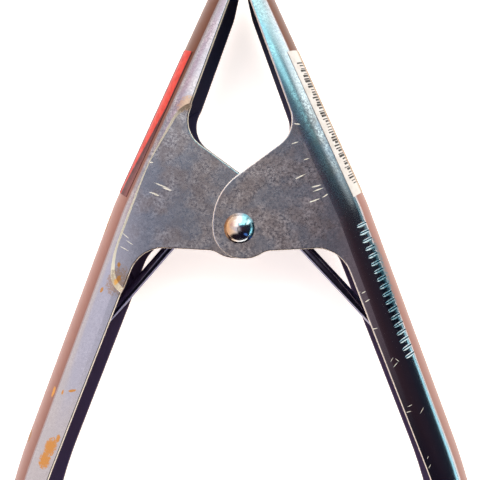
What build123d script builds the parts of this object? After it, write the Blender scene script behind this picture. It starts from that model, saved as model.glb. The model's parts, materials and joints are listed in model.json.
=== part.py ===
from build123d import *
from math import acos, asin, atan2, cos, degrees, pi, radians, sin, sqrt, tan
import os

# Steel spring clamp lying on its side: two pressed channel halves that cross at
# one rivet, a torsion spring wound round the rivet, and two printed stickers.
# Millimetres. X runs across the jaws, Y towards the jaws, Z is up along the rivet.
# The halves are drawn with the rivet at x = y = 0 and the middle of the channel
# at z = 0, and are moved to their place at the end.

# Sheet and channel section
sheet = 1.5
channel_depth = 25.0
edge_break = 0.45
spare = 3.0
outside = 130.0
core_spare = 2.5

# Back of the channel, seen from the side: jaw, handle and the curl at its end
jaw_reach = 96.0
handle_reach = 118.0
tip_back_x = 4.6
shoulder = (44.5, 8.5)
curl_length = 26.0
handle_lean = 20.3
curl_lean = 8.0
shoulder_radius = 60.0
curl_radius = 180.0

# Free edges of the side walls
mouth_gap = 0.3
nose_radius = 3.0
nose_corner = 5.0
nose_proud = 0.4
nose_lead = 12.0
nose_flare = 15.0
land_length = 5.5
land_radius = 12.0
knee_x = 3.4
knee_drop = 19.5
knee_radius = 15.0
jaw_root = (19.4, 32.5)
jaw_root_radius = 10.0
ear_tip_x = -9.0
ear_slope = 36.4
ear_top_radius = 20.0
ear_lobe_radius = 10.3
ear_step = (4.6, 2.6)
lobe_share = 1.3
ear_step_radius = 6.0
ear_floor_y = -6.4
handle_root_radius = 12.0
handle_side = 15.0
side_start_y = -20.0
handle_corner = 3.5
handle_end_side = 12.6

# Joggle that lets the inner half's ears run inside the outer half's
ear_clearance = 0.15
joggle_angle = 38.0
joggle_path = ((4.0, 43.5), (20.0, 39.5), (30.5, 22.0), (42.0, -9.0), (42.0, -18.5), (28.0, -27.0))
joggle_radii = (9.0, 60.0, 25.0, 7.0)

# Wrinkles that the press left across the outer half's bends, beside and below the ears
wrinkle_count = 18
wrinkle_start = 102.0
wrinkle_pitch = 2.75
wrinkle_angle = 57.0
wrinkle_radius = 1.1
wrinkle_depth = 0.22
wrinkle_length = 7.0

# Rivet
shank_radius = 4.0
head_radius = 5.1
head_height = 3.4
head_rim = 0.4
tail_radius = 4.7
tail_height = 1.8
running_clearance = 0.05

# Torsion spring
wire = 3.8
coil_radius = 7.0
coil_turns = 3
coil_pitch = 3.95
near_leg = (23.0, -7.9)
near_leg_lean = 43.0
far_leg = (-27.5, -8.8)
far_leg_lean = 41.0
leg_bend_radius = 9.0
leg_seat_gap = 0.35

# Stickers on the backs of the jaws
label_length = 54.0
label_start = 38.0
label_wrap = 52.0
label_film = 0.15
label_gap = 0.02

# Worked out from the sizes above
half_depth = channel_depth / 2
core_reach = shoulder[0] - ear_tip_x + core_spare
curl_y = curl_length - handle_reach
jaw_lean = degrees(atan2(shoulder[0] - tip_back_x, jaw_reach - shoulder[1]))
land_y = jaw_reach - land_length
knee = (knee_x, jaw_reach - knee_drop)
joggle_depth = sheet + ear_clearance
nose_x = mouth_gap / 2
square = 1e-6


def back_x(y):
    """Distance of the back line from the rivet's axis at height y."""
    lean = jaw_lean if y > shoulder[1] else handle_lean
    return shoulder[0] + (shoulder[1] - y) * tan(radians(lean))


def inward(lean, distance):
    """Step from the back towards the other half, square to the back line."""
    return Vector(-cos(radians(lean)), -sin(radians(lean))) * distance


def down(lean, distance):
    """Step along the back line, away from the jaw's tip."""
    return Vector(sin(radians(lean)), -cos(radians(lean))) * distance


back_tip = Vector(back_x(jaw_reach), jaw_reach)
back_curl = Vector(back_x(curl_y), curl_y)
back_end = back_curl + down(curl_lean, (handle_reach + curl_y) / cos(radians(curl_lean)))
handle_end = back_end + inward(curl_lean, handle_end_side)


def back_line():
    """Back of the channel from the jaw's tip to the end of the handle, and a little past both."""
    return FilletPolyline(
        back_tip - down(jaw_lean, spare),
        Vector(*shoulder),
        back_curl,
        back_end + down(curl_lean, spare),
        radius=(shoulder_radius, curl_radius),
    )


def channel_core(radius):
    """Solid D section, round at the back, run along the back line."""
    back = back_line()
    start = Plane(origin=back @ 0, x_dir=inward(jaw_lean, -1), z_dir=back % 0)
    with BuildSketch(start) as section:
        with BuildLine():
            Line((-core_reach, -radius), (-half_depth, -radius))
            CenterArc((-half_depth, 0), radius, -90, 180)
            Line((-half_depth, radius), (-core_reach, radius))
            Line((-core_reach, radius), (-core_reach, -radius))
        make_face()
    return sweep(section.sketch, path=back)


def side_outline():
    """Side view of one half: free edges of the walls, nose and handle end."""
    mid_side = (handle_side + handle_end_side) / 2
    edge_start = Vector(back_x(side_start_y), side_start_y) + inward(handle_lean, handle_side)
    edge_curl = back_curl + inward((handle_lean + curl_lean) / 2, mid_side)
    edge_run = edge_curl - edge_start
    handle_root = edge_start + edge_run * ((ear_floor_y - edge_start.Y) / edge_run.Y)
    ear_top_y = jaw_root[1] - (jaw_root[0] - ear_tip_x) * tan(radians(ear_slope))
    lobe_end = Vector(ear_tip_x + lobe_share * ear_lobe_radius, -ear_lobe_radius)
    nose_back = Vector(back_x(jaw_reach) + nose_proud, jaw_reach)
    edge = FilletPolyline(
        nose_back + down(jaw_lean + nose_flare, nose_lead),
        nose_back,
        Vector(nose_x, jaw_reach),
        Vector(nose_x, land_y),
        Vector(*knee),
        Vector(*jaw_root),
        Vector(ear_tip_x, ear_top_y),
        Vector(ear_tip_x, -ear_lobe_radius),
        lobe_end,
        lobe_end + Vector(*ear_step),
        handle_root,
        edge_curl,
        handle_end,
        back_end + inward(curl_lean, -spare),
        radius=(
            nose_radius,
            nose_radius,
            land_radius,
            knee_radius,
            jaw_root_radius,
            ear_top_radius,
            ear_lobe_radius,
            ear_lobe_radius,
            ear_step_radius,
            handle_root_radius,
            curl_radius - mid_side,
            handle_corner,
        ),
    )
    closing = Polyline(edge @ 1, (outside, handle_end.Y), (outside, land_y), edge @ 0)
    return make_face(Wire(edge.edges() + closing.edges()))


def end_block(inset):
    """Block that rounds the nose across the sheet, or stops the hollow short of it."""
    width = 2 * (half_depth - inset)
    with BuildSketch(Plane.YZ) as front:
        with Locations((jaw_reach - inset - outside, 0)):
            Rectangle(2 * outside, width)
        fillet(front.vertices().group_by(Axis.Y)[-1], nose_corner - inset)
    return extrude(front.sketch, amount=outside, both=True)


def joggle(inset):
    """The pressed-in area round the rivet, with ramped edges, on both walls."""
    ramp = radians(90 - joggle_angle)
    shift = inset * (1 / cos(ramp) - 1) / tan(ramp)
    rim = FilletPolyline(*joggle_path, radius=joggle_radii)
    closing = Polyline(rim @ 1, (-outside, joggle_path[-1][1]), (-outside, joggle_path[0][1]), rim @ 0)
    area = make_face(Wire(rim.edges() + closing.edges()))
    if shift > 0:
        area = offset(area, shift)
    floor = half_depth - joggle_depth - inset
    upper = extrude(Pos(0, 0, floor) * area, amount=joggle_depth, taper=-joggle_angle)
    return upper + mirror(upper, about=Plane.XY)


def cut_edges(half):
    """Edges of every sheared face of the sheet, which all stand square to the side view."""
    sheared = half.faces().filter_by(GeomType.PLANE).filter_by(lambda face: abs(face.normal_at().Z) < square)
    for face in half.faces().filter_by(GeomType.CYLINDER):
        if abs(face.axis_of_rotation.direction.Z) > 1 - square:
            sheared.append(face)
    edges = [edge for face in sheared for edge in face.edges() if edge not in face.edges().filter_by(Axis.Z)]
    return ShapeList(dict.fromkeys(edges))


def clamp_half(joggled, bore_radius):
    """Right-hand half, jaw and handle in one pressing."""
    body = channel_core(half_depth) & extrude(side_outline(), amount=outside, both=True) & end_block(0)
    hollow = channel_core(half_depth - sheet) & end_block(sheet)
    if joggled:
        body -= joggle(0)
        hollow -= joggle(sheet)
    pressing = body - hollow
    return fillet(cut_edges(pressing), edge_break) - Cylinder(bore_radius, 2 * channel_depth)


def wrinkles():
    """Cutters for the short rounded dents in both bends of the handle, square to its length."""
    back = back_line()
    seat = half_depth + wrinkle_radius - wrinkle_depth
    cutters = []
    for index in range(wrinkle_count):
        along = spare + wrinkle_start + index * wrinkle_pitch
        way = back.tangent_at(along, PositionMode.LENGTH)
        outward = Vector(-way.Y, way.X)
        middle = back.position_at(along, PositionMode.LENGTH) - outward * half_depth
        section = Plane(origin=middle, x_dir=outward, z_dir=way)
        for turn in (-wrinkle_angle, wrinkle_angle):
            place = section * Rot(0, 0, turn) * Pos(seat, 0, 0) * Rot(90, 0, 0)
            cutters.append(place * Cylinder(wrinkle_radius, wrinkle_length))
    return cutters


def rivet():
    """Domed head on the upper side, formed tail head below, shank through all four walls."""
    rise = head_height - head_rim
    dome = (head_radius**2 + rise**2) / (2 * rise)
    lean = asin(head_radius / dome) / 2
    tail_dome = (tail_radius**2 + tail_height**2) / (2 * tail_height)
    tail_lean = asin(tail_radius / tail_dome) / 2
    crown = half_depth + head_height
    foot = -half_depth - tail_height
    with BuildSketch(Plane.XZ) as half_section:
        with BuildLine():
            ThreePointArc(
                (0, crown),
                (dome * sin(lean), crown - dome * (1 - cos(lean))),
                (head_radius, half_depth + head_rim),
            )
            Polyline(
                (head_radius, half_depth + head_rim),
                (head_radius, half_depth),
                (shank_radius, half_depth),
                (shank_radius, -half_depth),
                (tail_radius, -half_depth),
            )
            ThreePointArc(
                (tail_radius, -half_depth),
                (tail_dome * sin(tail_lean), foot + tail_dome * (1 - cos(tail_lean))),
                (0, foot),
            )
            Line((0, foot), (0, crown))
        make_face()
    return revolve(half_section.sketch, axis=Axis.Z)


def leg_end(through, lean, height):
    """Point on a leg's line where the wire lies against the inside of the back."""
    bore = half_depth - sheet - wire / 2 - leg_seat_gap
    depth = half_depth - sqrt(bore**2 - height**2)
    side = Vector(abs(through[0]), through[1])
    across = inward(handle_lean, 1)
    run = down(lean, 1)
    travel = (depth - (side - Vector(*shoulder)).dot(across)) / run.dot(across)
    return side + run * travel


def leg_path(through, lean, start, climb):
    """Line of one leg: straight off the coil, one bend, and down into its handle."""
    hand = 1 if through[0] > 0 else -1
    bend_x = abs(through[0]) - (coil_radius - through[1]) * tan(radians(lean))
    height = start.Z + hand * bend_x * climb
    corner = Vector(hand * bend_x, coil_radius, height)
    flat_end = leg_end(through, lean, height)
    end = Vector(hand * flat_end.X, flat_end.Y, height)
    back = (start - corner).normalized()
    on = (end - corner).normalized()
    half_turn = acos(back.dot(on)) / 2
    middle = (back + on).normalized()
    reach = leg_bend_radius / tan(half_turn)
    apex = corner + middle * (leg_bend_radius / sin(half_turn) - leg_bend_radius)
    return [
        Line(start, corner + back * reach),
        ThreePointArc(corner + back * reach, apex, corner + on * reach),
        Line(corner + on * reach, end),
    ]


def torsion_spring():
    """Close-wound coil round the shank, wound so that squeezing the handles tightens it."""
    height = coil_turns * coil_pitch
    climb = coil_pitch / (2 * pi * coil_radius)
    coil = Pos(0, 0, -height / 2) * Rot(0, 0, 90) * Helix(coil_pitch, height, coil_radius, lefthand=True)
    near = leg_path(near_leg, near_leg_lean, coil @ 1, climb)
    far = leg_path(far_leg, far_leg_lean, coil @ 0, climb)
    path = Wire([*far, coil.edge(), *near])
    return sweep(Plane(path @ 0, z_dir=path % 0) * Circle(wire / 2), path=path)


def jaw_label():
    """Sticker wrapped over the back of the right-hand jaw."""
    start = back_tip + down(jaw_lean, label_start) + inward(jaw_lean, half_depth)
    section = Plane(origin=start, x_dir=inward(jaw_lean, -1), z_dir=down(jaw_lean, 1))
    inner = half_depth + label_gap
    outer = inner + label_film
    corner = (cos(radians(label_wrap)), sin(radians(label_wrap)))
    with BuildSketch(section) as strip:
        with BuildLine():
            CenterArc((0, 0), inner, -label_wrap, 2 * label_wrap)
            CenterArc((0, 0), outer, -label_wrap, 2 * label_wrap)
            for side in (-1, 1):
                Line(
                    (inner * corner[0], side * inner * corner[1]),
                    (outer * corner[0], side * outer * corner[1]),
                )
        make_face()
    return extrude(strip.sketch, amount=label_length)


right_half = clamp_half(False, shank_radius) - wrinkles()
left_half = mirror(clamp_half(True, shank_radius + running_clearance), about=Plane.YZ)
span = right_half.bounding_box()
pivot = Location((0, -(span.min.Y + span.max.Y) / 2, half_depth + tail_height))


def save(shape, node):
    export_step(pivot * shape, f"parts/{node}.step")


os.makedirs("parts", exist_ok=True)

save(right_half, "right_half")
save(left_half, "left_half")
save(rivet(), "pivot_rivet")
save(torsion_spring(), "torsion_spring")
save(jaw_label(), "white_label")
save(mirror(jaw_label(), about=Plane.YZ), "red_label")
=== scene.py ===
import json
from math import cos, pi, radians, sin, tan

import bmesh
import bpy
from bpy.props import FloatProperty, FloatVectorProperty, IntProperty, PointerProperty
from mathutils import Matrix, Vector


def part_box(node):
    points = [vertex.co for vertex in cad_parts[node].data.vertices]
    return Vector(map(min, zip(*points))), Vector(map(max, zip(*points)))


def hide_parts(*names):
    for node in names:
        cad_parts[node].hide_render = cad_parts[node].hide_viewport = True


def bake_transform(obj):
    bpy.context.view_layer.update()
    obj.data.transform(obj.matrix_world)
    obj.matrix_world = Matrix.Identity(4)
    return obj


bl_info = {
    "name": "Spring clamp finishes",
    "version": (1, 0, 0),
    "blender": (4, 5, 0),
    "location": "View3D > Sidebar > Clamp",
    "description": "Dresses the packed model of a plated steel spring clamp and sets up its studio",
    "category": "Object",
}

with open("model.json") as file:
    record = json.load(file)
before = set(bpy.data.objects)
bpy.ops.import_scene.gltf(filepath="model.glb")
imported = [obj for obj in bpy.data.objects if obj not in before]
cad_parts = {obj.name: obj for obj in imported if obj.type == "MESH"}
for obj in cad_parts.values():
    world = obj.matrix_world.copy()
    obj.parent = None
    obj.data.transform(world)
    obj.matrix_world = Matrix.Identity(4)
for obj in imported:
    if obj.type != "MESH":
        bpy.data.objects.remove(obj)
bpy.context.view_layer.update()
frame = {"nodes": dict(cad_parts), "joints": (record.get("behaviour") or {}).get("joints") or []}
MM = 0.001

# The rivet's axis, half way up the channel, and the upper face of the outer half
PIVOT = Vector(frame["joints"][0]["pos_m"])
OUTER_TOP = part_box("right_half")[1].z
HALF_DEPTH = OUTER_TOP - PIVOT.z

# Side of the photograph in pixels, and how far from the rivet the lights stand, in metres
PHOTO_SIDE = 480
LIGHT_DISTANCE = 0.8

SMOOTH = {"interpolation_type": "SMOOTHSTEP"}


def linear(colour):
    """Blender's linear colour for an sRGB hex value."""
    parts = [int(colour[i : i + 2], 16) / 255 for i in (1, 3, 5)]
    return tuple(c / 12.92 if c <= 0.04045 else ((c + 0.055) / 1.055) ** 2.4 for c in parts)


def output_of(source):
    """A node's first output in use. Anything else comes back as it is."""
    if isinstance(source, bpy.types.Node):
        return next(socket for socket in source.outputs if socket.enabled)
    return source


def add(tree, kind, inputs=(), stops=(), **settings):
    """Adds a node and sets it up. An input is a value, a colour, or the node or socket that feeds it."""
    made = tree.nodes.new("ShaderNode" + kind)
    for name, value in settings.items():
        setattr(made, name, value)
    for key, value in inputs.items() if isinstance(inputs, dict) else enumerate(inputs):
        source = output_of(value)
        if isinstance(source, bpy.types.NodeSocket):
            tree.links.new(source, made.inputs[key])
        elif made.inputs[key].type == "RGBA":
            colour = linear(value) if isinstance(value, str) else value
            made.inputs[key].default_value = (*colour, 1.0)
        else:
            made.inputs[key].default_value = value
    for _ in stops[2:]:
        made.color_ramp.elements.new(1.0)
    for element, (position, colour) in zip(made.color_ramp.elements if stops else (), stops):
        element.position = position
        element.color = (*linear(colour), 1.0)
    return made


def new_finish(name, values):
    """A material with one shader, with plain values on its named sockets."""
    material = bpy.data.materials.new(name)
    material.use_nodes = True
    shader = material.node_tree.nodes["Principled BSDF"]
    for socket, value in values.items():
        shader.inputs[socket].default_value = value
    return material, material.node_tree


def surface(tree, height, depth, feeds):
    """Feeds the shader's sockets from nodes, with a bump of the given depth in metres."""
    shader = tree.nodes["Principled BSDF"]
    bump = add(tree, "Bump", {"Strength": 1.0, "Distance": depth, "Height": height})
    for socket, source in {**feeds, "Normal": bump}.items():
        tree.links.new(output_of(source), shader.inputs[socket])


def dress(piece, material):
    """Gives a CAD node or a new piece its one material."""
    piece.data.materials.clear()
    piece.data.materials.append(material)


# How far below the upper face marks fade out: above the channel's middle, or past its lower face
ABOVE_MIDDLE = 9 * MM
PAST_LOWER = 40 * MM


def marks(tree, place, rows, reach=ABOVE_MIDDLE):
    """Mask of spindle-shaped marks: x, y, length and width in mm from the rivet, and turn in degrees."""
    mask = 0.0
    for x, y, length, width, turn in rows:
        inputs = {
            "Vector": place,
            "Location": (PIVOT.x + x * MM, PIVOT.y + y * MM, OUTER_TOP),
            "Rotation": (0, 0, radians(turn)),
            "Scale": (length * MM / 2, width * MM / 2, reach),
        }
        local = add(tree, "Mapping", inputs, vector_type="TEXTURE")
        mark = add(tree, "TexGradient", (local,), gradient_type="SPHERICAL").outputs["Fac"]
        mask = add(tree, "Math", (mask, mark), operation="MAXIMUM")
    return mask


# Scratches on the upper walls: x, y, length, width in mm from the rivet, and turn in degrees
SCRATCHES = (
    (-29.8, 22.0, 2.4, 0.5, -8),
    (-26.3, 14.2, 7.0, 0.5, -22),
    (-24.4, 13.0, 4.6, 0.6, -18),
    (-29.0, 11.6, 4.0, 0.5, -16),
    (-27.9, 11.0, 2.4, 0.5, -14),
    (13.8, 43.9, 2.6, 0.6, 22),
    (14.4, 42.9, 3.0, 0.5, 12),
    (14.9, 41.7, 2.6, 0.6, 24),
    (15.9, 35.4, 3.2, 0.4, 14),
    (19.2, 34.7, 2.6, 0.5, -6),
    (18.5, 28.4, 3.4, 0.4, 18),
    (22.3, 23.0, 2.6, 0.4, 16),
    (20.3, 17.2, 5.2, 0.5, 26),
    (25.6, 14.0, 4.4, 0.6, 14),
    (26.2, 12.8, 4.8, 0.5, 20),
    (25.0, 9.2, 5.2, 0.5, 20),
    (28.6, 10.8, 3.2, 0.5, 34),
    (-38.4, -2.6, 4.2, 0.3, -42),
    (-37.0, -5.0, 3.6, 0.3, -34),
    (-38.8, -7.0, 4.4, 0.35, -30),
    (38.8, -21.6, 4.2, 0.28, 12),
    (41.4, -21.4, 2.0, 0.42, 28),
    (42.6, -24.2, 2.4, 0.42, 32),
    (44.6, -33.6, 4.2, 0.42, 10),
    (50.8, -43.8, 2.2, 0.21, 60),
    (52.0, -45.6, 3.0, 0.24, 48),
    (52.6, -44.0, 2.2, 0.21, -40),
    (56.8, -59.2, 2.2, 0.24, 24),
    (56.4, -61.2, 2.4, 0.32, 16),
    (61.0, -61.0, 3.2, 0.21, 52),
    (63.4, -79.4, 2.0, 0.24, 60),
    (62.8, -76.4, 1.4, 0.21, 70),
)

# Brassy stains on the left handle and beside its ear, given in the same way
STAINS = (
    (-63.0, -73.0, 8.5, 5.0, 68),
    (-65.0, -77.4, 7.5, 5.0, 75),
    (-60.4, -70.0, 3.6, 1.8, 75),
    (-63.0, -55.5, 5.5, 1.4, 70),
    (-59.2, -55.0, 2.4, 0.9, 70),
    (-55.8, -54.2, 3.4, 1.2, 10),
    (-41.0, -17.5, 4.0, 2.2, 60),
    (-40.6, -12.5, 2.6, 1.4, 80),
    (-46.0, -20.6, 2.6, 1.2, 60),
)

# A painted warm highlight at the joggle's upper corner, and brown tarnish at its lower corner, given in the
# same way
TARNISH_AND_KNEE_HIGHLIGHT = (
    (-18.0, 41.6, 10.0, 6.0, 40),
    (-41.0, -16.6, 12.0, 7.5, 60),
    (-40.4, -18.8, 12.0, 9.0, 30),
)

# A painted dark blue-green reflection over the ripples that bending left beside the right half's back, given
# in the same way
RIPPLE_REFLECTION = ((49.5, -19.0, 54.0, 7.0, -74),)

# Rough brown wear along the crown of the left half's back, given in the same way
CROWN_WEAR = (
    (-47.0, 1.0, 14.0, 3.4, 66),
    (-52.6, -12.0, 18.0, 3.4, 66),
    (-58.4, -26.0, 16.0, 3.6, 68),
    (-63.0, -39.0, 12.0, 3.0, 70),
    (-67.0, -50.0, 9.0, 2.6, 72),
    (-72.6, -72.0, 6.0, 1.6, 72),
)

# Ranges in which one zone of the plate passes into the next. Level is 1 on a flat wall and 0 on the
# back's crown, and the first three take in the height from the channel's middle as well.
HOLLOW_TURN = (-0.03, -0.004)
INNER_CROWN_TURN = (-0.3, -0.15)
EDGE_TILT = (0.08, 0.24)
END_FACE_TURN = (0.75, 0.85)
BACK_LEVEL = (0.69, 0.74)
CROWN_LEVEL = (0.24, 0.4)
OUTSIDE_TURN = (0.5, 0.75)

# The left half's painted warm reflection on the back starts on walls that are this much more level
LEFT_BACK_WIDER = 0.14
MIDDLE_BLEND = (-5 * MM, 5 * MM)

# Where the smooth handles start beside the rivet, and the jaws ahead of it
HANDLE_START = (30 * MM, 40 * MM)
JAW_START = (PIVOT.y + 36 * MM, PIVOT.y + 50 * MM)
HANDLE_TO_JAW = (PIVOT.y + 10 * MM, PIVOT.y + 60 * MM)

# Mask at which a stain starts to show, and how much of the plate's colour a solid stain hides
MARK_START = 0.12
MARK_COVER = 0.9


def plate_zones(tree, coordinates):
    """Masks of the plate's zones by name, from where a point lies and which way its surface faces."""
    sideways, lengthways, facing = add(tree, "SeparateXYZ", (coordinates.outputs["Normal"],)).outputs
    across, along, up = add(tree, "SeparateXYZ", (coordinates.outputs["Object"],)).outputs
    height = add(tree, "MapRange", (up, PIVOT.z - HALF_DEPTH, PIVOT.z + HALF_DEPTH, -1.0, 1.0))
    off_middle = add(tree, "Math", (height,), operation="ABSOLUTE")
    level = add(tree, "Math", (facing,), operation="ABSOLUTE")
    side = add(tree, "Math", (across,), operation="SIGN")
    away = add(tree, "Math", (sideways, side), operation="MULTIPLY")

    # The hollow's walls face the channel's middle, and its crown faces the other half
    outward = add(tree, "Math", (facing, height), operation="MULTIPLY")
    inner_wall = add(tree, "MapRange", (outward, *HOLLOW_TURN, 1.0, 0.0), **SMOOTH)
    inner_crown = add(tree, "Math", (away, off_middle), operation="ADD")
    inner_crown = add(tree, "MapRange", (inner_crown, *INNER_CROWN_TURN, 1.0, 0.0), **SMOOTH)
    hollow = add(tree, "Math", (inner_wall, inner_crown), operation="MAXIMUM")

    # Cut edges and the joggle's ramp are steep far from the channel's middle, or face along the clamp
    tilt = add(tree, "Math", (off_middle, level), operation="SUBTRACT")
    steep = add(tree, "MapRange", (tilt, *EDGE_TILT), **SMOOTH)
    endways = add(tree, "Math", (lengthways,), operation="ABSOLUTE")
    end_face = add(tree, "MapRange", (endways, *END_FACE_TURN), **SMOOTH)
    edge = add(tree, "Math", (steep, end_face), operation="MAXIMUM")

    # The rolled back, its crown, and all that faces away from the other half
    wider = add(tree, "MapRange", (across, *MIDDLE_BLEND, LEFT_BACK_WIDER, 0.0))
    turned = add(tree, "Math", (level, wider), operation="SUBTRACT")
    back = add(tree, "MapRange", (turned, *BACK_LEVEL, 1.0, 0.0), **SMOOTH)
    crown = add(tree, "MapRange", (level, *CROWN_LEVEL, 1.0, 0.0), **SMOOTH)
    outside = add(tree, "MapRange", (away, *OUTSIDE_TURN))

    # The handles and jaws, where the sheet was drawn smooth, and how far a point lies toward the jaws
    distance = add(tree, "Math", (across,), operation="ABSOLUTE")
    handle = add(tree, "MapRange", (distance, *HANDLE_START, 0.0, 0.85), **SMOOTH)
    jaw = add(tree, "MapRange", (along, *JAW_START, 0.0, 0.6), **SMOOTH)
    drawn = add(tree, "Math", (handle, jaw), operation="MAXIMUM")
    ahead = add(tree, "MapRange", (along, *HANDLE_TO_JAW))
    return {
        "hollow": hollow,
        "edge": edge,
        "back": back,
        "crown": crown,
        "outside": outside,
        "drawn": drawn,
        "ahead": ahead,
    }


def zinc_plate(look):
    """Mild steel sheet, pressed and then barrel plated with bright zinc, passivated.

    The film mottles the ears finely. The handles were drawn over a die, so they are smooth. Their rolled
    backs carry a painted warm reflection of the floor, and the hollow is painted dark as painted shade. Cut
    edges and the joggle's ramp are painted cream as a painted highlight, and scratches show bare metal.
    """
    material, tree = new_finish("bright_zinc_plate", {})
    coordinates = add(tree, "TexCoord")
    place = coordinates.outputs["Object"]
    zones = plate_zones(tree, coordinates)

    # Fine mottling, strongest on the ears
    grain = {0: place, "Scale": 1 / look.mottle_size, "Detail": 5.0, "Roughness": 0.75}
    mottle = add(tree, "TexNoise", grain)
    clouds = add(tree, "TexNoise", {0: place, "Scale": 1 / look.cloud_size, "Detail": 3.0, "Roughness": 0.6})
    veil = add(tree, "TexNoise", {0: place, "Scale": 1 / look.veil_size, "Detail": 3.0})
    grains = add(tree, "MapRange", (mottle, 0.4, 0.58))
    thick = add(tree, "MapRange", (clouds, 0.36, 0.64, 0.0, 0.6), **SMOOTH)
    veiled = add(tree, "MapRange", (veil, 0.42, 0.62, 0.0, 0.5), **SMOOTH)
    colour = add(tree, "Mix", {0: grains, 6: look.dark_zinc, 7: look.light_zinc}, data_type="RGBA")
    colour = add(tree, "Mix", {0: thick, 6: colour, 7: look.thick_film}, data_type="RGBA")
    colour = add(tree, "Mix", {0: veiled, 6: colour, 7: look.blue_film}, data_type="RGBA")
    colour = add(tree, "Mix", {0: zones["drawn"], 6: colour, 7: look.drawn_zinc}, data_type="RGBA")

    # Painted warm reflection on the back, its worn crown, painted highlight on the edges and painted shade in
    # the hollow
    broken = add(tree, "MapRange", (clouds, 0.38, 0.6, 0.3, 0.9), **SMOOTH)
    worn = add(tree, "Math", (zones["crown"], zones["outside"]), operation="MULTIPLY")
    worn = add(tree, "Math", (worn, broken), operation="MULTIPLY")
    ahead = zones["ahead"]
    # cast is the painted reflection of the warm floor on the backs, browner on the jaws; oil is painted shade
    # in the hollow, darker and bluer in the jaws
    cast = add(tree, "Mix", {0: ahead, 6: look.painted_back_reflection, 7: look.painted_jaw_reflection}, data_type="RGBA")
    oil = add(tree, "Mix", {0: ahead, 6: look.painted_hollow_shade, 7: look.painted_throat_shade}, data_type="RGBA")
    for mask, tone in (
        (zones["back"], cast),
        (worn, look.worn_colour),
        (zones["edge"], look.painted_edge_highlight),
        (zones["hollow"], oil),
    ):
        colour = add(tree, "Mix", {0: mask, 6: colour, 7: tone}, data_type="RGBA")

    # Stains with ragged outlines, each with the mask at which it is solid; among them are the ripples'
    # painted reflection and the knee's painted highlight
    ragged = add(tree, "MapRange", (mottle, 0.4, 0.6, 0.5, 1.5), **SMOOTH)
    rust = marks(tree, place, CROWN_WEAR, PAST_LOWER)
    rust = add(tree, "Math", (zones["outside"], rust), operation="MULTIPLY")
    for mask, tone, solid in (
        (marks(tree, place, RIPPLE_REFLECTION), look.painted_ripple_reflection, 0.6),
        (marks(tree, place, TARNISH_AND_KNEE_HIGHLIGHT), look.tarnish_and_knee_highlight, 0.55),
        (marks(tree, place, STAINS), look.stain_colour, 0.34),
        (rust, look.rust_colour, 0.34),
    ):
        mask = add(tree, "Math", (mask, ragged), operation="MULTIPLY")
        mask = add(tree, "MapRange", (mask, MARK_START, solid, 0.0, MARK_COVER), **SMOOTH)
        colour = add(tree, "Mix", {0: mask, 6: colour, 7: tone}, data_type="RGBA")
    rusted = mask

    frayed = add(tree, "MapRange", (mottle, 0.3, 0.5, 0.5, 1.0), **SMOOTH)
    scratched = add(tree, "Math", (marks(tree, place, SCRATCHES), frayed), operation="MULTIPLY")
    scratched = add(tree, "MapRange", (scratched, 0.06, 0.5, 0.0, 0.8), **SMOOTH)
    colour = add(tree, "Mix", {0: scratched, 6: colour, 7: look.scratch_colour}, data_type="RGBA")

    # Bare scratches, rust, the worn crown and the edges under their painted highlight scatter light, so they
    # look less like a mirror; so do the hollow under its painted shade and half of the back
    half_back = add(tree, "Math", (zones["back"], 0.5), operation="MULTIPLY")
    dull = zones["hollow"]
    for mask in (zones["edge"], scratched, worn, rusted, half_back):
        dull = add(tree, "Math", (mask, dull), operation="MAXIMUM")
    metallic = add(tree, "MapRange", (dull, 0.0, 1.0, 1.0, look.dull_metallic))
    roughness = add(tree, "MapRange", (grains, 0.0, 1.0, look.dark_roughness, look.light_roughness))
    for mask, value in (
        (zones["drawn"], look.drawn_roughness),
        (zones["back"], look.back_roughness),
        (dull, look.dull_roughness),
    ):
        roughness = add(tree, "Mix", {0: mask, 2: roughness, 3: value})
    feeds = {"Base Color": colour, "Metallic": metallic, "Roughness": roughness}
    surface(tree, mottle, look.grain_depth, feeds)
    return material


# Painted reflections on the rivet's dome, from its left side to its right side: warm orange through grey to
# cyan
RIVET_PAINTED_REFLECTIONS = ((0.05, "#dc9c58"), (0.3, "#e6ccb0"), (0.5, "#dcdadc"), (0.78, "#d0e0e4"), (0.95, "#a0d4de"))


def burnished_rivet(look):
    """Soft steel rivet headed in a polished snap die, then zinc plated, so its dome is nearly a mirror.

    Its colour runs from orange on the left to cyan on the right, a painted reflection of the warm wall and
    the cyan light.
    """
    material, tree = new_finish("burnished_zinc_rivet", {"Metallic": 1.0})
    place = add(tree, "TexCoord").outputs["Object"]
    haze = add(tree, "TexNoise", {0: place, "Scale": 1 / look.haze_size, "Detail": 4.0})
    across = add(tree, "SeparateXYZ", (place,)).outputs["X"]
    side = add(tree, "MapRange", (across, PIVOT.x - look.radius, PIVOT.x + look.radius))
    # film here is the painted reflection across the dome, orange on the left and cyan on the right
    film = add(tree, "ValToRGB", (side,), RIVET_PAINTED_REFLECTIONS)
    share = add(tree, "MapRange", (haze, 0.35, 0.65, 0.0, 0.3))
    colour = add(tree, "Mix", {0: share, 6: film, 7: look.haze}, data_type="RGBA")
    roughness = add(tree, "MapRange", (haze, 0.3, 0.7, 0.1, 0.2))
    surface(tree, haze, look.dent_depth, {"Base Color": colour, "Roughness": roughness})
    return material


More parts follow.
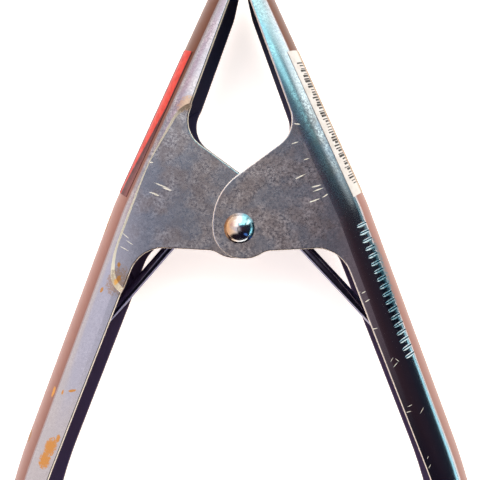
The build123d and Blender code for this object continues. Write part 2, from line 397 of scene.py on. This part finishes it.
def tempered_wire(look):
    """Hard-drawn spring wire tempered in oil: dark blue, with a thin oxide skin that drawing left smooth."""
    material, tree = new_finish("oil_tempered_wire", {"Metallic": 1.0})
    place = add(tree, "TexCoord").outputs["Object"]
    skin = add(tree, "TexNoise", {0: place, "Scale": 1 / look.skin_size, "Detail": 3.0})
    share = add(tree, "MapRange", (skin, 0.35, 0.7))
    colour = add(tree, "Mix", {0: share, 6: look.blue_skin, 7: look.grey_skin}, data_type="RGBA")
    roughness = add(tree, "MapRange", (skin, 0.3, 0.7, 0.14, 0.2))
    surface(tree, skin, look.skin_depth, {"Base Color": colour, "Roughness": roughness})
    return material


def jaw_coordinates(tree, look, side):
    """How far a point lies outside the jaw's crown, and along the jaw from the sticker's middle."""
    inputs = {
        "Vector": add(tree, "TexCoord").outputs["Object"],
        "Location": (PIVOT.x + side * look.middle_x, PIVOT.y + look.middle_y, PIVOT.z),
        "Rotation": (0, 0, side * look.jaw_lean),
    }
    turned = add(tree, "Mapping", inputs, vector_type="TEXTURE")
    across, along, _ = add(tree, "SeparateXYZ", (turned,)).outputs
    return add(tree, "Math", (across, side), operation="MULTIPLY"), along


def handled_film(tree, look, clean, dirty):
    """Blotches that handling leaves on a sticker's film, and the film's colour and roughness with them."""
    place = add(tree, "TexCoord").outputs["Object"]
    blotches = add(tree, "TexNoise", {0: place, "Scale": 1 / look.blotch_size, "Detail": 4.0})
    share = add(tree, "MapRange", (blotches, 0.45, 0.75))
    colour = add(tree, "Mix", {0: share, 6: clean, 7: dirty}, data_type="RGBA")
    roughness = add(tree, "MapRange", (blotches, 0.3, 0.7, 0.36, 0.5))
    return blotches, colour, roughness


def white_sticker(look):
    """White vinyl film with a satin varnish, screen printed with a row of plain dark bars on each side.

    Handling has left it cream, and a brown line runs along its crown.
    """
    material, tree = new_finish("white_vinyl_film", {"Specular IOR Level": 0.25})
    across, along = jaw_coordinates(tree, look, 1)
    blotches, film, roughness = handled_film(tree, look, look.white, look.white_dirt)
    # A brown line along the crown
    rubbed = add(tree, "MapRange", (across, -look.rubbed, -look.rubbed / 2, 0.0, 0.9))
    film = add(tree, "Mix", {0: rubbed, 6: film, 7: look.crown_line_colour}, data_type="RGBA")

    # Each bar draws its own width, as a share of the pitch, and its own inner end
    step = add(tree, "Math", (along, look.bar_pitch), operation="DIVIDE")
    inside = add(tree, "Math", (step,), operation="FRACT")
    cell = add(tree, "Math", (step,), operation="FLOOR")
    draws = add(tree, "TexWhiteNoise", {"W": cell}, noise_dimensions="1D")
    width = add(tree, "MapRange", (draws.outputs["Value"], 0.0, 1.0, 0.3, 0.9))
    ink = add(tree, "Math", (inside, width), operation="LESS_THAN")
    end = add(tree, "SeparateColor", (draws.outputs["Color"],)).outputs["Green"]
    end = add(tree, "MapRange", (end, 0.2, 0.7, -look.print_outer - look.shortest_bar, -look.print_inner))
    length = add(tree, "Math", (along,), operation="ABSOLUTE")
    for limit in (
        add(tree, "Math", (across, -look.print_outer), operation="LESS_THAN"),
        add(tree, "Math", (across, end), operation="GREATER_THAN"),
        add(tree, "Math", (length, look.print_length / 2), operation="LESS_THAN"),
    ):
        ink = add(tree, "Math", (ink, limit), operation="MULTIPLY")
    colour = add(tree, "Mix", {0: ink, 6: film, 7: look.ink}, data_type="RGBA")
    surface(tree, blotches, look.film_depth, {"Base Color": colour, "Roughness": roughness})
    return material


def red_sticker(look):
    """Red vinyl film with a satin varnish, a dark border along the crown and a wedge that widens downward."""
    material, tree = new_finish("red_vinyl_film", {"Specular IOR Level": 0.25})
    across, along = jaw_coordinates(tree, look, -1)
    blotches, film, roughness = handled_film(tree, look, look.red, look.red_dirt)
    # A dark border along the crown and a dark wedge that widens downward, lighter further inside
    foot = -look.print_length / 2
    start = add(tree, "MapRange", (along, foot, look.wedge_tip, -look.foot_inset, -look.tip_inset))
    depth = add(tree, "Math", (start, across), operation="SUBTRACT")
    wedge = add(tree, "MapRange", (depth, -look.wedge_blur, look.wedge_blur))
    border = add(tree, "MapRange", (across, -look.rubbed, -0.7 * look.rubbed))
    wedge = add(tree, "Math", (wedge, border), operation="MAXIMUM")
    fade = add(tree, "MapRange", (depth, look.fade_start, look.fade_end, 0.0, 0.6))
    printed = add(tree, "Mix", {0: fade, 6: look.dark_wedge_colour, 7: look.inner_wedge_colour}, data_type="RGBA")
    colour = add(tree, "Mix", {0: wedge, 6: film, 7: printed}, data_type="RGBA")
    surface(tree, blotches, look.film_depth, {"Base Color": colour, "Roughness": roughness})
    return material


class ClampPlate(bpy.types.PropertyGroup):
    """Looks of the two plated pressings."""

    light_zinc: FloatVectorProperty(
        name="Light zinc",
        description="Lighter grains of the ears",
        default=linear("#dedadc"),
        subtype="COLOR",
    )
    dark_zinc: FloatVectorProperty(
        name="Dark zinc",
        description="Darker grains of the ears",
        default=linear("#7a767e"),
        subtype="COLOR",
    )
    drawn_zinc: FloatVectorProperty(
        name="Drawn zinc",
        description="Smooth walls of the handles",
        default=linear("#c8c5c9"),
        subtype="COLOR",
    )
    thick_film: FloatVectorProperty(
        name="Thick film",
        description="Where the passivated film is thicker",
        default=linear("#9c9292"),
        subtype="COLOR",
    )
    blue_film: FloatVectorProperty(
        name="Blue film",
        description="Where the passivated film is thinner",
        default=linear("#8f9cae"),
        subtype="COLOR",
    )
    # Painted reflection of the warm floor on the rolled back
    painted_back_reflection: FloatVectorProperty(
        name="Back",
        description="Warm cast of the handled, rolled back",
        default=linear("#96685c"),
        subtype="COLOR",
    )
    # Browner painted reflection of the warm floor on the jaws' backs
    painted_jaw_reflection: FloatVectorProperty(
        name="Jaw back",
        description="Browner cast of the jaws' backs",
        default=linear("#663a27"),
        subtype="COLOR",
    )
    # Painted highlight on the cut edges and the joggle's ramp
    painted_edge_highlight: FloatVectorProperty(
        name="Edges",
        description="Rubbed cut edges and joggle ramp",
        default=linear("#ffecd8"),
        subtype="COLOR",
    )
    # Painted shade inside the handles
    painted_hollow_shade: FloatVectorProperty(
        name="Hollow",
        description="Oily skin inside the handles",
        default=linear("#524060"),
        subtype="COLOR",
    )
    # Painted shade inside the jaws
    painted_throat_shade: FloatVectorProperty(
        name="Jaw hollow",
        description="Oily skin inside the jaws",
        default=linear("#2a2846"),
        subtype="COLOR",
    )
    stain_colour: FloatVectorProperty(
        name="Stains", description="Brassy stains", default=linear("#d9953f"), subtype="COLOR"
    )
    worn_colour: FloatVectorProperty(
        name="Worn crown",
        description="Brown film along the backs' crowns",
        default=linear("#98622a"),
        subtype="COLOR",
    )
    rust_colour: FloatVectorProperty(
        name="Rust",
        description="Rough brown wear along the left crown",
        default=linear("#94601e"),
        subtype="COLOR",
    )
    # Brown tarnish, and the painted warm highlight at the joggle's upper corner
    tarnish_and_knee_highlight: FloatVectorProperty(
        name="Tarnish",
        description="Brown tarnish at the joggle's corners",
        default=linear("#b89c84"),
        subtype="COLOR",
    )
    # Painted dark blue-green reflection over the ripples
    painted_ripple_reflection: FloatVectorProperty(
        name="Ripples",
        description="Blue-green film over the ripples",
        default=linear("#3c6874"),
        subtype="COLOR",
    )
    scratch_colour: FloatVectorProperty(
        name="Scratches", description="Bared bright zinc", default=linear("#fff0d8"), subtype="COLOR"
    )
    drawn_roughness: FloatProperty(
        name="Wall roughness", description="Of the smooth handle walls", default=0.14, min=0.0, max=1.0
    )
    back_roughness: FloatProperty(
        name="Back roughness", description="Of the drawn, rolled back", default=0.14, min=0.0, max=1.0
    )
    cloud_size: FloatProperty(
        name="Clouds", description="Blotches of the thicker film", default=4 * MM, unit="LENGTH"
    )
    veil_size: FloatProperty(
        name="Veil", description="Blotches of the blue film", default=9 * MM, unit="LENGTH"
    )
    mottle_size: FloatProperty(
        name="Mottle",
        description="Grains, coarser than real ones so that they show",
        default=0.8 * MM,
        unit="LENGTH",
    )
    grain_depth: FloatProperty(
        name="Grain depth", description="Height of the grains", default=0.006 * MM, unit="LENGTH"
    )
    dark_roughness: FloatProperty(
        name="Dark roughness", description="Of the darker grains", default=0.28, min=0.0, max=1.0
    )
    light_roughness: FloatProperty(
        name="Light roughness", description="Of the lighter grains", default=0.2, min=0.0, max=1.0
    )
    # Also the roughness under the edges' painted highlight and the hollow's painted shade
    dull_roughness: FloatProperty(
        name="Dull roughness",
        description="Of scratches, rust, rubbed edges and oil",
        default=0.6,
        min=0.0,
        max=1.0,
    )
    dull_metallic: FloatProperty(
        name="Dull metallic",
        description="How much of a mirror they still are",
        default=0.06,
        min=0.0,
        max=1.0,
    )


class ClampRivet(bpy.types.PropertyGroup):
    """Size of the rivet's head, as in the CAD model, and its looks."""

    radius: FloatProperty(
        name="Head radius", description="Of the domed head", default=5.1 * MM, unit="LENGTH"
    )
    haze: FloatVectorProperty(
        name="Haze", description="Greyer clouds of the film", default=linear("#96949a"), subtype="COLOR"
    )
    haze_size: FloatProperty(name="Haze size", description="Of the clouds", default=1.6 * MM, unit="LENGTH")
    dent_depth: FloatProperty(
        name="Dent depth", description="Of the die's faint marks", default=0.01 * MM, unit="LENGTH"
    )


class ClampSpring(bpy.types.PropertyGroup):
    """Sizes of the torsion spring, as in the CAD model, and its looks."""

    wire: FloatProperty(name="Wire", description="Wire diameter", default=3.8 * MM, unit="LENGTH")
    coil_radius: FloatProperty(
        name="Coil radius", description="To the wire's middle", default=7 * MM, unit="LENGTH"
    )
    coil_pitch: FloatProperty(
        name="Pitch", description="Climb of one turn", default=3.95 * MM, unit="LENGTH"
    )
    coil_turns: IntProperty(name="Turns", description="Whole turns of the coil", default=3, min=1)
    bend_radius: FloatProperty(
        name="Bend", description="Radius where a leg bends down", default=9 * MM, unit="LENGTH"
    )
    near_through: FloatVectorProperty(
        name="Near leg",
        description="A point on the upper leg, from the rivet",
        size=2,
        default=(23.0 * MM, -7.9 * MM),
        unit="LENGTH",
    )
    near_lean: FloatProperty(
        name="Near lean", description="Of the upper leg", default=radians(43), unit="ROTATION"
    )
    far_through: FloatVectorProperty(
        name="Far leg",
        description="A point on the lower leg, from the rivet",
        size=2,
        default=(-27.5 * MM, -8.8 * MM),
        unit="LENGTH",
    )
    far_lean: FloatProperty(
        name="Far lean", description="Of the lower leg", default=radians(41), unit="ROTATION"
    )
    sides: IntProperty(name="Sides", description="Sides of the wire's section", default=28, min=8)
    turn_steps: IntProperty(name="Steps", description="Steps in one turn", default=48, min=12)
    end_bevel: FloatProperty(
        name="End bevel", description="Burr taken off the cut ends", default=0.3 * MM, unit="LENGTH"
    )
    blue_skin: FloatVectorProperty(
        name="Blue skin", description="Thinner oxide", default=linear("#6e6c88"), subtype="COLOR"
    )
    grey_skin: FloatVectorProperty(
        name="Grey skin", description="Thicker oxide", default=linear("#928e9c"), subtype="COLOR"
    )
    skin_size: FloatProperty(
        name="Skin size", description="Blotches of the oxide", default=3 * MM, unit="LENGTH"
    )
    skin_depth: FloatProperty(
        name="Skin depth", description="Height of the blotches", default=0.004 * MM, unit="LENGTH"
    )


class ClampStickers(bpy.types.PropertyGroup):
    """Print on the two stickers. Distances across are from the jaw's crown."""

    jaw_lean: FloatProperty(
        name="Jaw lean", description="Of the jaw's back", default=radians(24.5), unit="ROTATION"
    )
    middle_x: FloatProperty(
        name="Middle across",
        description="Sticker's middle, from the rivet",
        default=31.6 * MM,
        unit="LENGTH",
    )
    middle_y: FloatProperty(
        name="Middle along",
        description="Sticker's middle, from the rivet",
        default=36.9 * MM,
        unit="LENGTH",
    )
    bar_pitch: FloatProperty(
        name="Bar pitch", description="From bar to bar", default=1.0 * MM, unit="LENGTH"
    )
    print_length: FloatProperty(
        name="Print length", description="Printed stretch", default=46 * MM, unit="LENGTH"
    )
    print_outer: FloatProperty(
        name="Print outer", description="Row's outer edge", default=1.1 * MM, unit="LENGTH"
    )
    print_inner: FloatProperty(
        name="Print inner", description="Row's inner edge", default=3.3 * MM, unit="LENGTH"
    )
    shortest_bar: FloatProperty(
        name="Shortest bar", description="Length of the shortest bar", default=1.4 * MM, unit="LENGTH"
    )
    rubbed: FloatProperty(
        name="Rubbed line",
        description="Width of the rubbed line or border along the crown",
        default=1.5 * MM,
        unit="LENGTH",
    )
    wedge_tip: FloatProperty(
        name="Wedge tip",
        description="Upper tip, along the jaw from the sticker's middle",
        default=6.0 * MM,
        unit="LENGTH",
    )
    tip_inset: FloatProperty(
        name="Tip inset",
        description="From the crown to the wedge at its tip",
        default=4.4 * MM,
        unit="LENGTH",
    )
    foot_inset: FloatProperty(
        name="Foot inset",
        description="From the crown to the wedge at its lower end",
        default=1.9 * MM,
        unit="LENGTH",
    )
    wedge_blur: FloatProperty(
        name="Print blur",
        description="Half the width of the wedge's soft outline",
        default=0.15 * MM,
        unit="LENGTH",
    )
    fade_start: FloatProperty(
        name="Fade start",
        description="How far inside the wedge its ink starts to wear",
        default=0.6 * MM,
        unit="LENGTH",
    )
    fade_end: FloatProperty(
        name="Fade end",
        description="How far inside the wedge its ink is worn",
        default=2.2 * MM,
        unit="LENGTH",
    )
    blotch_size: FloatProperty(
        name="Blotches", description="Size of soiled blotches", default=2.5 * MM, unit="LENGTH"
    )
    film_depth: FloatProperty(
        name="Film depth", description="Height of the film's waves", default=0.02 * MM, unit="LENGTH"
    )
    white: FloatVectorProperty(
        name="White", description="White film", default=linear("#d6c8c2"), subtype="COLOR"
    )
    white_dirt: FloatVectorProperty(
        name="White dirt", description="Handled white film", default=linear("#c8b8ae"), subtype="COLOR"
    )
    # Brown line along the crown of the white film
    crown_line_colour: FloatVectorProperty(
        name="Rubbed",
        description="Brown rubbed line of the white film",
        default=linear("#a07850"),
        subtype="COLOR",
    )
    ink: FloatVectorProperty(
        name="Ink", description="Dark printing ink", default=linear("#241812"), subtype="COLOR"
    )
    red: FloatVectorProperty(name="Red", description="Red film", default=linear("#cc2c18"), subtype="COLOR")
    red_dirt: FloatVectorProperty(
        name="Red dirt", description="Handled red film", default=linear("#b02414"), subtype="COLOR"
    )
    # Dark wedge along the crown
    dark_wedge_colour: FloatVectorProperty(
        name="Wedge", description="Dark printed wedge", default=linear("#4a1418"), subtype="COLOR"
    )
    # Lighter inner part of the wedge
    inner_wedge_colour: FloatVectorProperty(
        name="Worn wedge",
        description="Wedge where it is rubbed",
        default=linear("#8a5450"),
        subtype="COLOR",
    )


class ClampStudio(bpy.types.PropertyGroup):
    """Camera, floor, lights and room."""

    camera_x: FloatProperty(
        name="Camera across", description="From the rivet", default=11.2 * MM, unit="LENGTH"
    )
    camera_y: FloatProperty(
        name="Camera along", description="From the rivet", default=12.7 * MM, unit="LENGTH"
    )
    camera_z: FloatProperty(
        name="Camera height", description="Above the floor", default=206.7 * MM, unit="LENGTH"
    )
    focal_length: FloatProperty(
        name="Focal length", description="On a 36 mm sensor", default=40.5, unit="CAMERA"
    )
    shift_x: FloatProperty(name="Shift across", description="In frame widths", default=-33 / PHOTO_SIDE)
    shift_y: FloatProperty(name="Shift along", description="In frame widths", default=-50 / PHOTO_SIDE)
    floor_side: FloatProperty(name="Floor", description="Side of the floor", default=3.0, unit="LENGTH")
    floor_colour: FloatVectorProperty(
        name="Floor colour", description="Pale opal sheet", default=linear("#fbf4f0"), subtype="COLOR"
    )
    glow_colour: FloatVectorProperty(
        name="Glow colour",
        description="Of the light through the floor",
        default=linear("#fff6f2"),
        subtype="COLOR",
    )
    floor_glow: FloatProperty(
        name="Floor glow", description="Light that shines through the floor", default=0.7
    )
    back_light: FloatProperty(name="Back light", description="Brightness of the main light", default=3.0)
    right_light: FloatProperty(
        name="Right light", description="Brightness of the soft right light", default=1.4
    )
    lower_strip_light: FloatProperty(
        name="Lower strip",
        description="Brightness of the strip on the right, nearer the handles",
        default=1.7,
    )
    upper_strip_light: FloatProperty(
        name="Upper strip", description="Brightness of the fainter strip, nearer the jaws", default=0.425
    )
    room_strength: FloatProperty(
        name="Room strength", description="Brightness of the mirrored room", default=2.0
    )


def start_piece(name, operator, **settings):
    """Adds a primitive with only itself selected and open in edit mode, and names it."""
    bpy.ops.object.select_all(action="DESELECT")
    operator(enter_editmode=True, **settings)
    piece = bpy.context.object
    piece.name = name
    return piece


def select_where(piece, test):
    """Selects only the vertices of the open mesh that pass a test on their place in the frame."""
    bpy.ops.mesh.select_all(action="DESELECT")
    mesh = bmesh.from_edit_mesh(piece.data)
    for vertex in mesh.verts:
        if test(piece.matrix_world @ vertex.co):
            vertex.select_set(True)
    mesh.select_flush(True)
    bmesh.update_edit_mesh(piece.data)


def bend_leg(piece, settings, side, through, lean, end_x):
    """Draws one end of the coil out straight, bends it and runs it on to its end beside the handle's back."""
    climb = settings.coil_pitch / (2 * pi * settings.coil_radius)
    rise = side * settings.coil_turns * settings.coil_pitch / 2
    start = PIVOT + Vector((0, settings.coil_radius, rise))
    corner_x = abs(through[0]) - (settings.coil_radius - through[1]) * tan(lean)
    corner = start + side * corner_x * Vector((1, 0, climb))
    off = (corner - start).normalized()
    down = Vector((side * sin(lean), -cos(lean), 0))
    angle = off.angle(down)
    reach = settings.bend_radius * tan(angle / 2)
    inward = (down - off * down.dot(off)).normalized()
    centre = corner - off * reach + inward * settings.bend_radius
    rest = (end_x - (corner + down * reach).x) / down.x

    # The end's rim lies in the plane of the rivet's axis, half a wire from the wire's middle
    def at_end(point):
        in_plane = abs(point.x - start.x) < 0.01 * MM
        return in_plane and (point - start).length < 0.51 * settings.wire

    straight = off * ((corner - start).length - reach)
    select_where(piece, at_end)
    bpy.ops.mesh.extrude_region_move(TRANSFORM_OT_translate={"value": straight})
    bpy.ops.mesh.spin(steps=settings.turn_steps // 4, angle=angle, center=centre, axis=down.cross(off))
    bpy.ops.mesh.extrude_region_move(TRANSFORM_OT_translate={"value": down * rest})
    bpy.ops.mesh.edge_face_add()
    bpy.ops.mesh.bevel(offset=settings.end_bevel, segments=2)


class OBJECT_OT_clamp_pressings(bpy.types.Operator):
    """Gives both pressed halves their bright zinc plate"""

    bl_idname = "object.clamp_pressings"
    bl_label = "Plate the pressings"

    def execute(self, context):
        plate = zinc_plate(context.scene.clamp_plate)
        for node in ("right_half", "left_half"):
            dress(frame["nodes"][node], plate)
        return {"FINISHED"}


class OBJECT_OT_clamp_rivet(bpy.types.Operator):
    """Gives the rivet its burnished finish"""

    bl_idname = "object.clamp_rivet"
    bl_label = "Burnish the rivet"

    def execute(self, context):
        dress(frame["nodes"]["pivot_rivet"], burnished_rivet(context.scene.clamp_rivet))
        return {"FINISHED"}


class OBJECT_OT_clamp_stickers(bpy.types.Operator):
    """Prints the white and the red sticker"""

    bl_idname = "object.clamp_stickers"
    bl_label = "Print the stickers"

    def execute(self, context):
        look = context.scene.clamp_stickers
        dress(frame["nodes"]["white_label"], white_sticker(look))
        dress(frame["nodes"]["red_label"], red_sticker(look))
        return {"FINISHED"}


class OBJECT_OT_clamp_spring(bpy.types.Operator):
    """Winds the torsion spring and bends its legs"""

    bl_idname = "object.clamp_spring"
    bl_label = "Wind the spring"

    def execute(self, context):
        settings = context.scene.clamp_spring
        height = settings.coil_turns * settings.coil_pitch
        spring = start_piece(
            "wound_spring",
            bpy.ops.mesh.primitive_circle_add,
            vertices=settings.sides,
            radius=settings.wire / 2,
            location=PIVOT,
        )
        bpy.ops.transform.rotate(value=pi / 2, orient_axis="Y", center_override=PIVOT)
        bpy.ops.transform.translate(value=(0, settings.coil_radius, -height / 2))
        bpy.ops.object.mode_set(mode="OBJECT")
        coil = spring.modifiers.new("coil", "SCREW")
        coil.angle = -2 * pi * settings.coil_turns
        coil.screw_offset = height
        coil.steps = coil.render_steps = settings.coil_turns * settings.turn_steps
        bpy.ops.object.modifier_apply(modifier=coil.name)

        low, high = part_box("torsion_spring")
        near_end = high.x - settings.wire / 2 * cos(settings.near_lean)
        far_end = low.x + settings.wire / 2 * cos(settings.far_lean)
        bpy.ops.object.mode_set(mode="EDIT")
        bend_leg(spring, settings, 1, settings.near_through, settings.near_lean, near_end)
        bend_leg(spring, settings, -1, settings.far_through, settings.far_lean, far_end)
        bpy.ops.mesh.select_all(action="SELECT")
        bpy.ops.mesh.remove_doubles(threshold=0.001 * MM)
        bpy.ops.mesh.normals_make_consistent(inside=False)
        bpy.ops.object.mode_set(mode="OBJECT")
        bpy.ops.object.transform_apply(location=True, rotation=True, scale=True)
        bpy.ops.object.shade_smooth_by_angle(angle=radians(35))

        dress(spring, tempered_wire(settings))
        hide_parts("torsion_spring")
        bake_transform(spring)
        return {"FINISHED"}


def softbox(name, azimuth, elevation, width, height, brightness, colour, mirrored):
    """An oval light for mirror images or for soft light. Azimuth 0 is +X and 90 is +Y.

    Its power goes with its area, so that its brightness doesn't change with its size.
    """
    level = cos(radians(elevation))
    toward = Vector((level * cos(radians(azimuth)), level * sin(radians(azimuth)), sin(radians(elevation))))
    place = PIVOT + toward * LIGHT_DISTANCE
    bpy.ops.object.light_add(type="AREA", location=place, rotation=toward.to_track_quat("Z", "Y").to_euler())
    light = bpy.context.object
    light.name = name
    light.data.shape = "ELLIPSE"
    light.data.size = width
    light.data.size_y = height
    light.data.energy = brightness * pi * width * height
    light.data.color = linear(colour)
    light.visible_glossy = mirrored
    light.visible_diffuse = not mirrored


# Colours of the room are half as bright as they show, because its strength is 2. These are the
# ceiling's, near the table and further ahead, each from left to right.
NEAR_CEILING = (
    (0.0, "#b0afbc"),
    (0.352, "#b0afbc"),
    (0.375, "#80838e"),
    (0.395, "#5e5e64"),
    (0.435, "#66615f"),
    (0.465, "#a39a95"),
    (0.5, "#86807e"),
    (0.53, "#7c787e"),
    (0.565, "#5c5259"),
    (0.61, "#40333a"),
    (0.68, "#2a1c22"),
    (1.0, "#111723"),
)
FAR_CEILING = (
    (0.0, "#927a74"),
    (0.14, "#bda8b3"),
    (0.27, "#f3f3f3"),
    (0.4, "#e7e7e7"),
    (0.45, "#a59ca9"),
    (0.49, "#7fb2bf"),
    (0.53, "#b0f8ff"),
    (0.76, "#b0f8ff"),
    (0.83, "#1d3b4a"),
    (0.88, "#e8ffff"),
    (0.92, "#e8ffff"),
    (0.96, "#142c3e"),
)
DARK_SIDE = "#110e19"
WARM_WALL = "#c0b8b6"

# Patches of the ceiling: how far they lie to the right and ahead, on a unit sphere, width, depth and colour
CEILING_PATCHES = (
    (-0.02, 0.8, 0.7, 0.64, "#ffffff"),
    (-0.42, -0.8, 1.3, 0.7, "#15111b"),
    (0.6, -0.62, 0.34, 0.26, "#3a5a96"),
    (0.58, 0.64, 0.34, 0.24, "#d0ffff"),
    (0.14, 0.19, 0.46, 0.25, "#2c2c4a"),
    (0.36, 0.3, 0.5, 0.26, "#294156"),
    (-0.2, 0.19, 0.16, 0.16, "#e7e7e7"),
)

# Height of a patch's column, so far above the sphere's that only its width and depth shape it
PATCH_HEIGHT = 9


def studio_room(strength):
    """Room round the table: a pale left wall, a white and cyan ceiling ahead, and a dark right side.

    Polished plate shows the part of the ceiling that it faces, so each half looks unlike the other.
    """
    world = bpy.data.worlds.new("studio_room")
    world.use_nodes = True
    tree = world.node_tree
    direction = add(tree, "TexCoord").outputs["Generated"]
    x, y, z = add(tree, "SeparateXYZ", (direction,)).outputs

    # The line between the near and the far ceiling runs aslant over the table
    across = add(tree, "MapRange", (x, -1.0, 1.0))
    near = add(tree, "ValToRGB", (across,), NEAR_CEILING)
    far = add(tree, "ValToRGB", (across,), FAR_CEILING)
    aslant = add(tree, "Clamp", (x, -0.22, 0.1))
    ahead = add(tree, "Math", (aslant, -0.5, y), operation="MULTIPLY_ADD")
    share = add(tree, "MapRange", (ahead, 0.25, 0.35), **SMOOTH)
    room = add(tree, "Mix", {0: share, 6: near, 7: far}, data_type="RGBA")

    # The side behind is dark, but for its left part
    behind = add(tree, "MapRange", (y, -0.42, -0.24, 1.0, 0.0), **SMOOTH)
    right = add(tree, "MapRange", (x, -0.24, -0.1), **SMOOTH)
    dark = add(tree, "Math", (behind, right), operation="MULTIPLY")
    room = add(tree, "Mix", {0: dark, 6: room, 7: DARK_SIDE}, data_type="RGBA")

    # A warm wall stands on the left, and is higher behind
    back = add(tree, "Math", (y, 0.0), operation="MINIMUM")
    lower = add(tree, "Math", (back, 1.5, z), operation="MULTIPLY_ADD")
    low = add(tree, "MapRange", (lower, 0.36, 0.42, 1.0, 0.0), **SMOOTH)
    left = add(tree, "MapRange", (x, -0.3, -0.1, 1.0, 0.0), **SMOOTH)
    warm = add(tree, "Math", (low, left), operation="MULTIPLY")
    room = add(tree, "Mix", {0: warm, 6: room, 7: WARM_WALL}, data_type="RGBA")

    for centre_x, centre_y, width, depth, colour in CEILING_PATCHES:
        size = (width / 2, depth / 2, PATCH_HEIGHT)
        inputs = {"Vector": direction, "Location": (centre_x, centre_y, 0), "Scale": size}
        local = add(tree, "Mapping", inputs, vector_type="TEXTURE")
        patch = add(tree, "TexGradient", (local,), gradient_type="SPHERICAL").outputs["Fac"]
        share = add(tree, "MapRange", (patch, 0.0, 0.5), **SMOOTH)
        room = add(tree, "Mix", {0: share, 6: room, 7: colour}, data_type="RGBA")

    background = tree.nodes["Background"]
    background.inputs["Strength"].default_value = strength
    tree.links.new(output_of(room), background.inputs["Color"])
    return world


class SCENE_OT_clamp_studio(bpy.types.Operator):
    """Lays the pale floor and sets up the soft lights, the room and the camera"""

    bl_idname = "scene.clamp_studio"
    bl_label = "Set up the studio"

    def execute(self, context):
        settings = context.scene.clamp_studio
        bpy.ops.mesh.primitive_plane_add(size=settings.floor_side, location=(0, 0, 0))
        floor = bpy.context.object
        floor.name = "floor"
        opal = {
            "Base Color": (*settings.floor_colour, 1.0),
            "Roughness": 0.9,
            "Emission Color": (*settings.glow_colour, 1.0),
            "Emission Strength": settings.floor_glow,
        }
        sheet, _ = new_finish("opal_acrylic_sheet", opal)
        dress(floor, sheet)

        softbox("back_softbox", 90, 48, 0.9, 0.5, settings.back_light, "#ffffff", mirrored=False)
        softbox("right_softbox", 0, 38, 0.8, 0.6, settings.right_light, "#fff0da", mirrored=False)
        softbox("lower_strip", -20, 5, 0.62, 0.1, settings.lower_strip_light, "#a8e8f4", mirrored=True)
        softbox("upper_strip", 18, 6, 0.7, 0.12, settings.upper_strip_light, "#9ad8e4", mirrored=True)
        context.scene.world = studio_room(settings.room_strength)

        place = (PIVOT.x + settings.camera_x, PIVOT.y + settings.camera_y, settings.camera_z)
        bpy.ops.object.camera_add(location=place, rotation=(0, 0, 0))
        camera = bpy.context.object
        camera.data.lens = settings.focal_length
        camera.data.shift_x = settings.shift_x
        camera.data.shift_y = settings.shift_y
        camera.data.clip_start = MM
        context.scene.camera = camera
        context.scene.view_settings.view_transform = "Standard"
        return {"FINISHED"}


class VIEW3D_PT_clamp(bpy.types.Panel):
    """Lists the steps that dress the clamp"""

    bl_label = "Spring clamp"
    bl_idname = "VIEW3D_PT_clamp"
    bl_space_type = "VIEW_3D"
    bl_region_type = "UI"
    bl_category = "Clamp"

    def draw(self, context):
        for operator in OPERATORS:
            self.layout.operator(operator.bl_idname)


SETTINGS = {
    "clamp_plate": ClampPlate,
    "clamp_rivet": ClampRivet,
    "clamp_spring": ClampSpring,
    "clamp_stickers": ClampStickers,
    "clamp_studio": ClampStudio,
}
OPERATORS = (
    SCENE_OT_clamp_studio,
    OBJECT_OT_clamp_pressings,
    OBJECT_OT_clamp_rivet,
    OBJECT_OT_clamp_spring,
    OBJECT_OT_clamp_stickers,
)


def register():
    for item in (*SETTINGS.values(), *OPERATORS, VIEW3D_PT_clamp):
        bpy.utils.register_class(item)
    for name, group in SETTINGS.items():
        setattr(bpy.types.Scene, name, PointerProperty(type=group))


def unregister():
    for name in SETTINGS:
        delattr(bpy.types.Scene, name)
    for item in (VIEW3D_PT_clamp, *OPERATORS, *SETTINGS.values()):
        bpy.utils.unregister_class(item)


def main():
    register()
    bpy.ops.scene.clamp_studio()
    bpy.ops.object.clamp_pressings()
    bpy.ops.object.clamp_rivet()
    bpy.ops.object.clamp_spring()
    bpy.ops.object.clamp_stickers()


if __name__ == "__main__":
    main()
